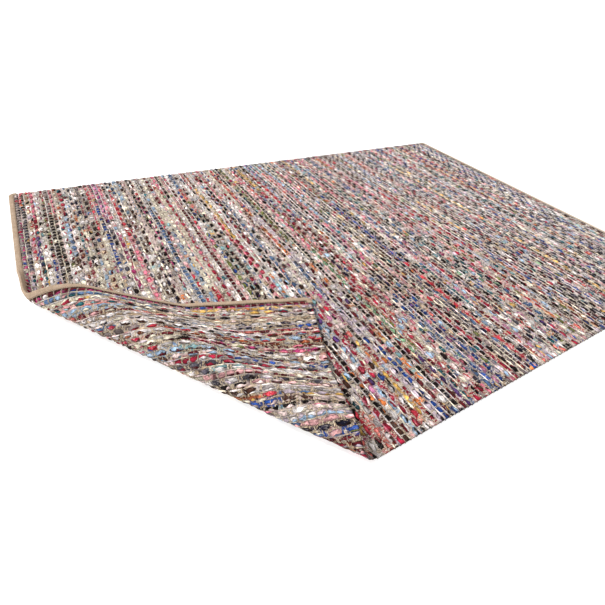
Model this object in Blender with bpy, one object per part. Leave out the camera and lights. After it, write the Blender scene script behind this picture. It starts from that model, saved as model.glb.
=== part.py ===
"""A rag rug of 1.60 x 2.30 m, lying on the floor with its front left corner turned over onto it.

The woven cloth and the two binding tapes are laid out flat first, as closed solids, and then the
corner of each is turned over by one rule. Metres, +Z up, the floor at z = 0 and the origin under
the middle of the rug. X runs along the warp, from bound end to bound end, and Y along the wefts.
"""

import math
from collections import namedtuple

import bmesh
import bpy
from mathutils import Vector

# The rug laid out flat
LENGTH = 2.30  # from bound end to bound end
WIDTH = 1.60  # from selvedge to selvedge
THICKNESS = 0.008
CORNER_RADIUS = 0.022
CORNER_STEPS = 6

# The binding tape, folded round the cut ends of the warp
TAPE_WIDTH = 0.017  # on each face of the rug
TAPE_THICKNESS = 0.001
TAPE_TAIL = 0.006  # it ends this far past the corner's curve, on the selvedge
CLEARANCE = 0.0003  # between tape and cloth

# The turned-over corner: where the fold meets the bound end and the selvedge
CORNER_TO_FOLD_ON_END = 0.9355
CORNER_TO_FOLD_ON_SELVEDGE = 0.6358

# The roll's section at its two ends, and in between it changes evenly. The cloth leaves the floor on
# the outer radius, comes over on the crown radius until it runs down at the slope angle, and lands
# on the rug. The rise is from the middle of the lower layer to the middle of the upper one.
Roll = namedtuple("Roll", "outer_radius crown_radius slope rise")
ROLL_AT_END = Roll(0.0348, 0.0611, math.radians(31.5), 0.0122)
ROLL_AT_SELVEDGE = Roll(0.0304, 0.0301, math.radians(17.2), 0.0160)
OUTER_TURN = math.radians(82.4)  # the cloth turns this far on the outer radius
LANDING_RADIUS = 0.030

# The fold is straight, but near its ends it bends back into the rug, most at the peak
Bend = namedtuple("Bend", "depth peak dies_out")
BEND_AT_END = Bend(0.0753, -0.0788, 0.1201)
BEND_AT_SELVEDGE = Bend(0.0054, 1.1312, 0.8922)

# How finely the turned-over cloth is divided: strips across the fold, and steps on each stretch
FIRST_STRIP = -0.12
END_OF_BEND = 0.12
LAST_STRIP = 1.14
BEND_STRIPS = 10
STRAIGHT_STRIPS = 22
OUTER_STEPS = 12
CROWN_STEPS = 12
SLOPE_STEPS = 2
LANDING_STEPS = 4

HALF = THICKNESS / 2
TAPE_INSIDE = HALF - TAPE_THICKNESS
UNDER_TAPE = TAPE_INSIDE - CLEARANCE
CLOTH_INSET = TAPE_THICKNESS + CLEARANCE  # from the tape's outer edge to the cloth's edge
CUT_TOLERANCE = 1e-6

# How thick the cloth is inwards from its edge. The wefts turn round at the selvedge, and the cut
# end is pressed thin inside the tape.
Rim = namedtuple("Rim", "inset half")
SELVEDGE_RIM = (
    Rim(0, 0.45 * HALF),
    Rim(0.0012, 0.80 * HALF),
    Rim(0.0032, HALF),
    Rim(TAPE_WIDTH + 0.002, HALF),
)
BOUND_RIM = (
    Rim(0, 0.60 * UNDER_TAPE),
    Rim(0.0010, UNDER_TAPE),
    Rim(TAPE_WIDTH - TAPE_THICKNESS, UNDER_TAPE),
    Rim(TAPE_WIDTH + 0.001, HALF),
)

# The tape's section as pairs: outer face, then inner face
TapePair = namedtuple("TapePair", "outer_inset outer_height inner_inset inner_height")
TAPE_SECTION = (
    TapePair(TAPE_WIDTH, HALF, TAPE_WIDTH, TAPE_INSIDE),
    TapePair(TAPE_THICKNESS, HALF, 1.4 * TAPE_THICKNESS, TAPE_INSIDE),
    TapePair(0, TAPE_INSIDE, TAPE_THICKNESS, TAPE_INSIDE - 0.4 * TAPE_THICKNESS),
    TapePair(0, -TAPE_INSIDE, TAPE_THICKNESS, 0.4 * TAPE_THICKNESS - TAPE_INSIDE),
    TapePair(TAPE_THICKNESS, -HALF, 1.4 * TAPE_THICKNESS, -TAPE_INSIDE),
    TapePair(TAPE_WIDTH, -HALF, TAPE_WIDTH, -TAPE_INSIDE),
)

# The fold's own directions on the floor: along it, and out over the corner
FOLD_START = Vector((-LENGTH / 2, CORNER_TO_FOLD_ON_END - WIDTH / 2))
FOLD_END = Vector((CORNER_TO_FOLD_ON_SELVEDGE - LENGTH / 2, -WIDTH / 2))
FOLD_LENGTH = (FOLD_END - FOLD_START).length
ALONG = (FOLD_END - FOLD_START).normalized()
OUT = Vector((ALONG.y, -ALONG.x))


def clear_scene():
    for obj in list(bpy.data.objects):
        bpy.data.objects.remove(obj, do_unlink=True)


# ---------------------------------------------------------------- the fold


def roll_at(along):
    """The roll's section at a distance along the fold."""
    share = along / FOLD_LENGTH
    ends = zip(ROLL_AT_END, ROLL_AT_SELVEDGE)
    return Roll(*(first + (last - first) * share for first, last in ends))


def set_back(along):
    """How far the fold is set back into the rug, each bend dying out in half a wave."""
    total = 0.0
    for bend in (BEND_AT_END, BEND_AT_SELVEDGE):
        share = (along - bend.peak) / (bend.dies_out - bend.peak)
        total += bend.depth * (1 + math.cos(math.pi * max(0, min(1, share)))) / 2
    return total


def stretches(roll):
    """Lengths of cloth on the outer radius, on the crown radius, down the slope and in the landing."""
    outer = roll.outer_radius * OUTER_TURN
    crown = roll.crown_radius * (math.pi + roll.slope - OUTER_TURN)
    crown_height = roll.crown_radius * (math.cos(OUTER_TURN) + math.cos(roll.slope))
    top = roll.outer_radius * (1 - math.cos(OUTER_TURN)) + crown_height
    drop = top - roll.rise - LANDING_RADIUS * (1 - math.cos(roll.slope))
    return outer, crown, drop / math.sin(roll.slope), LANDING_RADIUS * roll.slope


def section_point(out, roll):
    """Where cloth that lay at this distance beyond the fold goes: how far out, how high, what turn."""
    if out <= 0:
        return out, HALF, 0.0
    outer, crown, slope, landing = stretches(roll)
    turn = min(out, outer) / roll.outer_radius
    x = roll.outer_radius * math.sin(turn)
    z = HALF + roll.outer_radius * (1 - math.cos(turn))
    out -= outer
    if out > 0:
        turn = OUTER_TURN + min(out, crown) / roll.crown_radius
        x += roll.crown_radius * (math.sin(turn) - math.sin(OUTER_TURN))
        z += roll.crown_radius * (math.cos(OUTER_TURN) - math.cos(turn))
        out -= crown
    if out > 0:
        x -= min(out, slope) * math.cos(roll.slope)
        z -= min(out, slope) * math.sin(roll.slope)
        out -= slope
    if out > 0:
        back = min(out, landing) / LANDING_RADIUS
        left = roll.slope - back
        x -= LANDING_RADIUS * (math.sin(roll.slope) - math.sin(left))
        z -= LANDING_RADIUS * (math.cos(left) - math.cos(roll.slope))
        turn -= back
        out -= landing
    return x - max(out, 0), z, turn


def turned_over(flat):
    """Where a point of the flat rug lies once the corner is turned over."""
    on_floor = flat.xy - FOLD_START
    along = on_floor.dot(ALONG)
    back = set_back(along)
    x, z, turn = section_point(on_floor.dot(OUT) + back, roll_at(along))
    x -= back + flat.z * math.sin(turn)
    z += flat.z * math.cos(turn)
    place = FOLD_START + along * ALONG + x * OUT
    return Vector((place.x, place.y, z))


def creases(along):
    """Distances out from the fold line at which the cloth is divided, at a place along it."""
    distances = [-set_back(along)]
    steps = (OUTER_STEPS, CROWN_STEPS, SLOPE_STEPS, LANDING_STEPS)
    for stretch, count in zip(stretches(roll_at(along)), steps):
        start = distances[-1]
        distances += [start + stretch * i / count for i in range(1, count + 1)]
    return distances


def on_rug(along, out):
    place = FOLD_START + along * ALONG + out * OUT
    return Vector((place.x, place.y, 0))


def with_edges(faces):
    parts = set(faces)
    for face in faces:
        parts.update(face.edges)
        parts.update(face.verts)
    return list(parts)


def divide(bm, parts, start, end):
    """Divides these parts along the upright plane through two points, and gives them back."""
    across = (end - start).cross(Vector((0, 0, 1)))
    cut = bmesh.ops.bisect_plane(
        bm, geom=parts, dist=CUT_TOLERANCE, plane_co=start, plane_no=across.normalized()
    )
    return [part for part in cut["geom"] if part.is_valid]


def out_of_fold(face):
    return (face.calc_center_median().xy - FOLD_START).dot(OUT)


def along_fold(face):
    return (face.calc_center_median().xy - FOLD_START).dot(ALONG)


def strip_edges():
    """Places along the fold, closer together where it bends."""
    bend_step = (END_OF_BEND - FIRST_STRIP) / BEND_STRIPS
    straight_step = (LAST_STRIP - END_OF_BEND) / STRAIGHT_STRIPS
    bent = [FIRST_STRIP + bend_step * i for i in range(BEND_STRIPS)]
    return bent + [END_OF_BEND + straight_step * i for i in range(STRAIGHT_STRIPS + 1)]


def turn_corner_over(bm):
    """Divides a flat solid finely where it bends, and turns its corner over."""
    edges = strip_edges()
    flat_until = -BEND_AT_END.depth
    divide(bm, with_edges(bm.faces[:]), on_rug(0, flat_until), on_rug(1, flat_until))
    for edge in edges:
        corner = [face for face in bm.faces if out_of_fold(face) > flat_until]
        divide(bm, with_edges(corner), on_rug(edge, 0), on_rug(edge, 1))
    for near, far in zip(edges, edges[1:]):
        strip = [
            face
            for face in bm.faces
            if out_of_fold(face) > flat_until and near < along_fold(face) < far
        ]
        parts = with_edges(strip)
        for start, end in zip(creases(near), creases(far)):
            parts = divide(bm, parts, on_rug(near, start), on_rug(far, end))
    bmesh.ops.triangulate(bm, faces=bm.faces[:])
    for vert in bm.verts:
        vert.co = turned_over(vert.co)


# ---------------------------------------------------------------- the flat pieces

EdgePoint = namedtuple("EdgePoint", "place inwards bound")


def corner_edge(side_x, side_y, inset):
    """One rounded corner's edge, from the tape's tail on the selvedge to the bound end."""
    centre = Vector((side_x * (LENGTH / 2 - CORNER_RADIUS), side_y * (WIDTH / 2 - CORNER_RADIUS)))
    radius = CORNER_RADIUS - inset
    tail = centre + Vector((-side_x * TAPE_TAIL, side_y * radius))
    points = [EdgePoint(tail, Vector((0, -side_y)), True)]
    for step in range(CORNER_STEPS + 1):
        turn = math.radians(90) * step / CORNER_STEPS
        outwards = Vector((side_x * math.sin(turn), side_y * math.cos(turn)))
        points.append(EdgePoint(centre + radius * outwards, -outwards, True))
    return points


def cloth_corner(side_x, side_y):
    """The cloth's edge at a corner: from the open selvedge it steps in under the tape's tail."""
    under_tape = corner_edge(side_x, side_y, CLOTH_INSET)
    inwards = Vector((0, -side_y))
    tail_end = side_x * (LENGTH / 2 - CORNER_RADIUS - TAPE_TAIL)
    step_in = Vector((tail_end - side_x * 2 * CLEARANCE, side_y * (WIDTH / 2 - CLOTH_INSET)))
    step_out = Vector((tail_end - side_x * 2 * CLOTH_INSET, side_y * WIDTH / 2))
    open_edge = [EdgePoint(step_out, inwards, False), EdgePoint(step_in, inwards, True)]
    return open_edge + under_tape


def cloth_edge():
    """The cloth's edge right round, anticlockwise from the front selvedge's right end."""
    return (
        cloth_corner(1, -1)
        + cloth_corner(1, 1)[::-1]
        + cloth_corner(-1, 1)
        + cloth_corner(-1, -1)[::-1]
    )


def loop_faces(bm, first, second):
    """Quads between two closed rings of vertices."""
    count = len(first)
    for i in range(count):
        j = (i + 1) % count
        bm.faces.new((first[i], first[j], second[j], second[i]))


def flat_cloth():
    bm = bmesh.new()
    edge = cloth_edge()
    upper, lower = [], []
    for selvedge, bound in zip(SELVEDGE_RIM, BOUND_RIM):
        rims = [bound if point.bound else selvedge for point in edge]
        places = [point.place + rim.inset * point.inwards for point, rim in zip(edge, rims)]
        upper.append([bm.verts.new((*p, rim.half)) for p, rim in zip(places, rims)])
        lower.append([bm.verts.new((*p, -rim.half)) for p, rim in zip(places, rims)])
    for outer, inner in zip(upper, upper[1:]):
        loop_faces(bm, outer, inner)
    for outer, inner in zip(lower, lower[1:]):
        loop_faces(bm, inner, outer)
    loop_faces(bm, lower[0], upper[0])
    bm.faces.new(upper[-1])
    bm.faces.new(lower[-1][::-1])
    return bm


def flat_tape(side_x):
    """The tape on one end: its section follows the rug's edge from tail to tail."""
    bm = bmesh.new()
    path = corner_edge(side_x, -1, 0) + corner_edge(side_x, 1, 0)[::-1]
    outer, inner = [], []
    for point in path:
        sections = [
            (point.place + pair.outer_inset * point.inwards, pair.outer_height,
             point.place + pair.inner_inset * point.inwards, pair.inner_height)
            for pair in TAPE_SECTION
        ]
        outer.append([bm.verts.new((*place, height)) for place, height, _, _ in sections])
        inner.append([bm.verts.new((*place, height)) for _, _, place, height in sections])
    rings = [out + into[::-1] for out, into in zip(outer, inner)]
    for first, second in zip(rings, rings[1:]):
        loop_faces(bm, first, second)
    for end in (0, -1):
        for i in range(len(TAPE_SECTION) - 1):
            bm.faces.new((outer[end][i], outer[end][i + 1], inner[end][i + 1], inner[end][i]))
    bmesh.ops.recalc_face_normals(bm, faces=bm.faces[:])
    return bm


def lay_flat(bm):
    for vert in bm.verts:
        vert.co.z += HALF


# ---------------------------------------------------------------- the pieces


def material(name, colour, roughness):
    made = bpy.data.materials.new(name)
    made.use_nodes = True
    shader = made.node_tree.nodes["Principled BSDF"]
    shader.inputs["Base Color"].default_value = (*colour, 1)
    shader.inputs["Roughness"].default_value = roughness
    shader.inputs["Metallic"].default_value = 0.0
    return made


def add_piece(name, bm, finish):
    mesh = bpy.data.meshes.new(name)
    bm.to_mesh(mesh)
    bm.free()
    mesh.materials.append(finish)
    piece = bpy.data.objects.new(name, mesh)
    bpy.context.scene.collection.objects.link(piece)
    return piece


def rug_cloth():
    bm = flat_cloth()
    turn_corner_over(bm)
    return add_piece("rug_cloth", bm, material("mixed_rags_and_jute", (0.36, 0.27, 0.24), 0.9))


def left_binding():
    bm = flat_tape(-1)
    turn_corner_over(bm)
    return add_piece("binding_left", bm, material("tan_tape", (0.42, 0.31, 0.21), 0.9))


def right_binding():
    bm = flat_tape(1)
    lay_flat(bm)
    return add_piece("binding_right", bm, material("tan_tape_right", (0.42, 0.31, 0.21), 0.9))


clear_scene()
rug_cloth()
left_binding()
right_binding()
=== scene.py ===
import math
from collections import namedtuple
from functools import partial

import bpy
import numpy as np
from mathutils import Matrix, Vector


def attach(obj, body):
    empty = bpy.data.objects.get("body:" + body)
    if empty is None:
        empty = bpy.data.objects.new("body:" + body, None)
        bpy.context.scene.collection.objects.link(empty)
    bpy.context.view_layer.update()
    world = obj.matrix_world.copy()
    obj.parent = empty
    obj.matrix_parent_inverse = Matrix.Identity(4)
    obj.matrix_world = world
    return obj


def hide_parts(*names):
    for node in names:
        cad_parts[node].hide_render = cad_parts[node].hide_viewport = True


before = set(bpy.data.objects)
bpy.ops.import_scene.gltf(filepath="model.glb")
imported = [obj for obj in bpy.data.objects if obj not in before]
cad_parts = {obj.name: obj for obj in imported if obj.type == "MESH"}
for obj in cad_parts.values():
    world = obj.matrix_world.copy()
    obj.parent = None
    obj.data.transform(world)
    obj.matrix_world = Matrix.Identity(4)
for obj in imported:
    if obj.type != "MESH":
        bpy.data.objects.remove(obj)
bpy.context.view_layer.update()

# -------- the jute warps
# The rug's ground is a layer of fine two-ply jute warps from bound end to bound end. They lie side
# by side in groups, and each group goes over one rag weft and under the next. The layer is one thin
# sheet with the corner turned over, and every weft below is woven into it.

LENGTH = 2.30  # along the warp, X
WIDTH = 1.60  # from selvedge to selvedge, Y
HALF = 0.004  # of the cloth's 8 mm

# The turned-over corner: where the fold meets the bound end and the selvedge, and the roll's
# section at those two places, as the solids have them
CORNER_TO_FOLD_ON_END = 0.9355
CORNER_TO_FOLD_ON_SELVEDGE = 0.6358
Roll = namedtuple("Roll", "outer_radius crown_radius slope rise")
ROLL_AT_END = Roll(0.0348, 0.0611, math.radians(31.5), 0.0122)
ROLL_AT_SELVEDGE = Roll(0.0304, 0.0301, math.radians(17.2), 0.0160)
OUTER_TURN = math.radians(82.4)
LANDING_RADIUS = 0.030
Bend = namedtuple("Bend", "depth peak dies_out")
FOLD_BENDS = (Bend(0.0753, -0.0788, 0.1201), Bend(0.0054, 1.1312, 0.8922))

FOLD_START = np.array((-LENGTH / 2, CORNER_TO_FOLD_ON_END - WIDTH / 2))
FOLD_END = np.array((CORNER_TO_FOLD_ON_SELVEDGE - LENGTH / 2, -WIDTH / 2))
FOLD_LENGTH = np.linalg.norm(FOLD_END - FOLD_START)
ALONG = (FOLD_END - FOLD_START) / FOLD_LENGTH
OUT = np.array((ALONG[1], -ALONG[0]))


def half_wave(share):
    """From 1 down to 0 as share goes from 0 to 1."""
    return (1 + np.cos(np.pi * np.clip(share, 0, 1))) / 2


def turned_over(flat):
    """Where points of the flat rug lie once its corner is turned over. Flat z is 0 at mid cloth."""
    on_floor = flat[:, :2] - FOLD_START
    along = on_floor @ ALONG
    back = sum(
        bend.depth * half_wave((along - bend.peak) / (bend.dies_out - bend.peak)) for bend in FOLD_BENDS
    )
    share = np.clip(along / FOLD_LENGTH, -0.1, 1.1)
    outer_radius, crown_radius, slope, rise = (
        first + (last - first) * share for first, last in zip(ROLL_AT_END, ROLL_AT_SELVEDGE)
    )
    outer = outer_radius * OUTER_TURN
    crown = crown_radius * (math.pi + slope - OUTER_TURN)
    top = outer_radius * (1 - math.cos(OUTER_TURN))
    top = top + crown_radius * (math.cos(OUTER_TURN) + np.cos(slope))
    down = (top - rise - LANDING_RADIUS * (1 - np.cos(slope))) / np.sin(slope)
    landing = LANDING_RADIUS * slope

    left = on_floor @ OUT + back
    x = np.minimum(left, 0)
    turn = np.clip(left, 0, outer) / outer_radius
    x = x + outer_radius * np.sin(turn)
    z = HALF + outer_radius * (1 - np.cos(turn))
    left = left - outer
    over = np.clip(left, 0, crown) / crown_radius
    x = x + crown_radius * (np.sin(OUTER_TURN + over) - math.sin(OUTER_TURN))
    z = z + crown_radius * (math.cos(OUTER_TURN) - np.cos(OUTER_TURN + over))
    left = left - crown
    x = x - np.clip(left, 0, down) * np.cos(slope)
    z = z - np.clip(left, 0, down) * np.sin(slope)
    left = left - down
    back_turn = np.clip(left, 0, landing) / LANDING_RADIUS
    x = x - LANDING_RADIUS * (np.sin(slope) - np.sin(slope - back_turn))
    z = z - LANDING_RADIUS * (np.cos(slope - back_turn) - np.cos(slope))
    left = left - landing
    turn = turn + over - back_turn
    x = x - np.maximum(left, 0) - back - flat[:, 2] * np.sin(turn)
    z = z + flat[:, 2] * np.cos(turn)
    place = FOLD_START + along[:, None] * ALONG + x[:, None] * OUT
    return np.column_stack((place, z))


# A slow wave and a quick one: how far they reach, their lengths across and along the rug, and where
# they start
Drift = namedtuple("Drift", "reach across along start")
DRIFTS = (Drift(0.0040, 1.9, 3.1, 0.6), Drift(0.0016, 0.43, -1.3, 0.0))


def woven_drift(flat):
    """How far the hand-beaten rows wander along the warp. It dies out towards the bound ends."""
    x, y = flat[:, 0], flat[:, 1]
    waves = sum(
        drift.reach * np.sin(2 * math.pi * (y / drift.across + x / drift.along) + drift.start)
        for drift in DRIFTS
    )
    return waves * (1 - (2 * x / LENGTH) ** 6)


# The weave: a wide rag weft, then a thin pick, and so on from end to end
WARP_GROUPS = 76
GROUP = WIDTH / WARP_GROUPS
RAG_ROWS = 137
FIRST_ROW = 0.0250  # from the bound end
ROW_PITCH = (LENGTH - 2 * FIRST_ROW) / (RAG_ROWS - 1)
ROW_JITTER = 0.0013
SAME_SHED_SHARE = 0.30  # of neighbouring rag wefts that go over the same warp groups

weave_dice = np.random.default_rng(23)
rag_row_x = -LENGTH / 2 + FIRST_ROW + ROW_PITCH * np.arange(RAG_ROWS)
rag_row_x[1:-1] += weave_dice.uniform(-ROW_JITTER, ROW_JITTER, RAG_ROWS - 2)
changes_shed = weave_dice.random(RAG_ROWS) > SAME_SHED_SHARE
rag_row_shed = np.cumsum(changes_shed) % 2
thin_row_x = (rag_row_x[1:] + rag_row_x[:-1]) / 2

# Rag wefts that show an even lump between all groups, held by thin pairs of warps. The places are
# distances from the left bound end.
EVEN_ROWS_AT = (
    0.024, 0.050, 0.117, 0.295, 0.345, 0.465, 0.592, 0.725, 0.848, 0.897, 1.120, 1.270, 1.62, 1.88
)
# Rag wefts whose lumps are each split in two by a thin warp: these, and a share of all others
PAIR_SHARE = 0.25
PAIR_ROWS_AT = (0.205, 0.430, 0.535, 0.815, 0.985, 1.045, 1.180, 1.375, 1.530, 1.705, 1.79, 2.02, 2.11)


def nearest_row(distance):
    return int(np.argmin(np.abs(rag_row_x + LENGTH / 2 - distance)))


def rows_at(distances):
    """Marks the rag wefts that lie nearest to the distances."""
    marked = np.zeros(RAG_ROWS, bool)
    marked[[nearest_row(at) for at in distances]] = True
    return marked


is_even = rows_at(EVEN_ROWS_AT)
is_pair = rows_at(PAIR_ROWS_AT)
is_pair |= weave_dice.random(RAG_ROWS) < PAIR_SHARE
is_pair &= ~is_even

OPEN_UNTIL = 0.75  # from the left bound end
CLOSE_FROM = 1.60
OPEN_HOLES, CLOSE_HOLES = 0.95, 0.80
WARP_LAYER = 0.0020  # thick
WARP_LIFT = 0.0012  # of a group over a rag weft, from mid cloth
GROUP_HALF_WIDTH = 0.0062  # of the yarns of a group, with the rags bare between the groups
YARN_PITCH = 0.0036
EDGE_INSET = 0.0040  # of the layer's edge from the wefts' turns at the selvedge
END_INSET = 0.0016  # of the layer's end inside the binding
CORNER_RADIUS = 0.022
UNEVEN_LIFT = 0.00025
EDGE_TAPER = 0.004  # over which the layer thins out to its edge


def half_width_at(x):
    """Half the layer's width, which follows the rounded corners."""
    past = np.maximum(np.abs(x) - (LENGTH / 2 - CORNER_RADIUS), 0)
    drop = CORNER_RADIUS - np.sqrt(np.maximum(CORNER_RADIUS**2 - past**2, 0))
    return WIDTH / 2 - EDGE_INSET - drop


def warp_layer_mesh():
    """The closed sheet: a station at each row, and a column at both sides of each group."""
    side = np.where(rag_row_shed == 0, 1.0, -1.0)
    ends = np.array((-1, 1)) * (LENGTH / 2 - END_INSET)
    stations = np.sort(np.concatenate((rag_row_x, thin_row_x, ends)))
    middles = (np.arange(WARP_GROUPS) + 0.5) * GROUP - WIDTH / 2
    sides = (middles[:, None] + np.array((-GROUP_HALF_WIDTH, GROUP_HALF_WIDTH))).ravel()
    columns = np.concatenate(([-WIDTH / 2], sides, [WIDTH / 2]))
    over = np.concatenate(([0], np.repeat((-1.0) ** np.arange(WARP_GROUPS), 2), [0]))
    lift = np.zeros((len(stations), len(columns)))
    for row in range(RAG_ROWS):
        if not is_even[row]:
            lift[1 + 2 * row] = -WARP_LIFT * side[row] * over
    for row in range(RAG_ROWS - 1):
        if side[row] == side[row + 1]:
            lift[2 + 2 * row] = WARP_LIFT * side[row] * over
    lift += weave_dice.uniform(-UNEVEN_LIFT, UNEVEN_LIFT, lift.shape)
    x, y = np.meshgrid(stations, columns, indexing="ij")
    y = y * (half_width_at(x) / (WIDTH / 2))
    thin = np.minimum(1, 0.3 + (half_width_at(x) - np.abs(y)) / EDGE_TAPER)
    half = WARP_LAYER / 2 * thin
    rows, cols = x.shape
    upper = np.column_stack((x.ravel(), y.ravel(), (lift + half).ravel()))
    lower = np.column_stack((x.ravel(), y.ravel(), (lift - half).ravel()))
    index = np.arange(rows * cols).reshape(rows, cols)
    quads = np.stack((index[:-1, :-1], index[1:, :-1], index[1:, 1:], index[:-1, 1:]), axis=-1)
    top_faces = quads.reshape(-1, 4)
    low_faces = top_faces[:, ::-1] + rows * cols
    rim = np.concatenate((index[:-1, 0], index[-1, :-1], index[:0:-1, -1], index[0, :0:-1]))
    ring = np.roll(rim, -1)
    sides = np.column_stack((ring, rim, rim + rows * cols, ring + rows * cols))
    mesh = bpy.data.meshes.new("jute_warps")
    faces = np.concatenate((top_faces, low_faces, sides))
    mesh.from_pydata(np.concatenate((upper, lower)).tolist(), [], faces.tolist())
    return mesh


def coordinates(mesh):
    flat = np.empty(len(mesh.vertices) * 3)
    mesh.vertices.foreach_get("co", flat)
    return flat.reshape(-1, 3)


def fold_mesh(mesh, flat, wander=True):
    """Keeps the flat place as the mesh's UV map, and turns the rug's corner over."""
    layer = mesh.uv_layers.new(name="flat")
    from_corner = flat[:, :2] + (LENGTH / 2, WIDTH / 2)
    points = np.empty(len(mesh.loops), np.int32)
    mesh.loops.foreach_get("vertex_index", points)
    layer.data.foreach_set("uv", from_corner[points].ravel())
    placed = flat.copy()
    if wander:
        placed[:, 0] += woven_drift(flat)
    placed = turned_over(placed)
    placed[:, 2] = np.maximum(placed[:, 2], 0)
    mesh.vertices.foreach_set("co", placed.ravel())
    mesh.polygons.foreach_set("use_smooth", np.ones(len(mesh.polygons), bool))
    mesh.update()


def paint(mesh, name, colours):
    """Stores a colour, and an amount as its alpha, at each point."""
    layer = mesh.color_attributes.new(name=name, type="FLOAT_COLOR", domain="POINT")
    layer.data.foreach_set("color", colours.astype(np.float32).ravel())


def add_piece(name, mesh, finish):
    mesh.materials.clear()
    mesh.materials.append(finish)
    mesh.name = name
    piece = bpy.data.objects.new(name, mesh)
    bpy.context.scene.collection.objects.link(piece)
    return piece


def dyed(red, green, blue):
    """A colour given as the eye reads it, 0 to 255, in the linear values that shaders take."""
    read = np.array((red, green, blue)) / 255
    return tuple(np.where(read <= 0.04045, read / 12.92, ((read + 0.055) / 1.055) ** 2.4))


# The rags: red, green and blue as the eye reads them, and how common each is among the strips
RAGS = {
    "white": (253, 244, 241, 14), "cream": (242, 230, 206, 9), "silver": (228, 218, 216, 8),
    "blush": (240, 212, 207, 8), "rose": (226, 168, 168, 4), "sand": (206, 178, 148, 3.5),
    "mist": (192, 180, 178, 3), "lilac": (200, 182, 194, 2.5), "grey": (136, 120, 118, 3),
    "slate": (80, 76, 86, 3), "sky": (164, 190, 216, 3.5), "aqua": (142, 184, 188, 2),
    "denim": (88, 114, 152, 2.5), "royal": (40, 72, 142, 1.5), "navy": (30, 28, 50, 6),
    "black": (22, 13, 13, 17), "brown": (74, 46, 36, 6), "maroon": (92, 24, 32, 7.5),
    "crimson": (166, 38, 62, 5.5), "red": (200, 54, 70, 2.5), "coral": (222, 116, 106, 3),
    "pink": (226, 122, 142, 3.5), "magenta": (178, 62, 112, 1.5), "orchid": (196, 126, 160, 1.5),
    "violet": (82, 54, 108, 1), "teal": (36, 96, 104, 2.5), "green": (130, 168, 130, 0.7),
    "olive": (118, 122, 66, 1.2), "mustard": (224, 176, 92, 1.6), "orange": (226, 128, 70, 1.8),
    "rust": (166, 88, 56, 1.8),
}
RAG_NAMES = list(RAGS)
RAG_COLOURS = np.array([dyed(*read) for *read, common in RAGS.values()])
COMMON = [common for *read, common in RAGS.values()]
RAG_SHARES = np.array(COMMON) / sum(COMMON)
LIGHT_RAGS = ("white", "cream", "silver", "blush")
PALE_RAGS = (*LIGHT_RAGS, "mist", "sand")
DEEP_RAGS = ("black", "brown", "navy", "maroon", "slate")
WARM_RAGS = ("brown", "maroon", "crimson", "red", "coral", "pink", "orange", "rust", "rose")
BLUE_AND_GREEN = ("sky", "aqua", "denim", "royal", "teal", "green", "olive")


def are_among(names):
    """Marks those of the rags that are named."""
    return np.array([name in names for name in RAG_NAMES])


def numbers_of(names):
    return [RAG_NAMES.index(name) for name in names]


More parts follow.
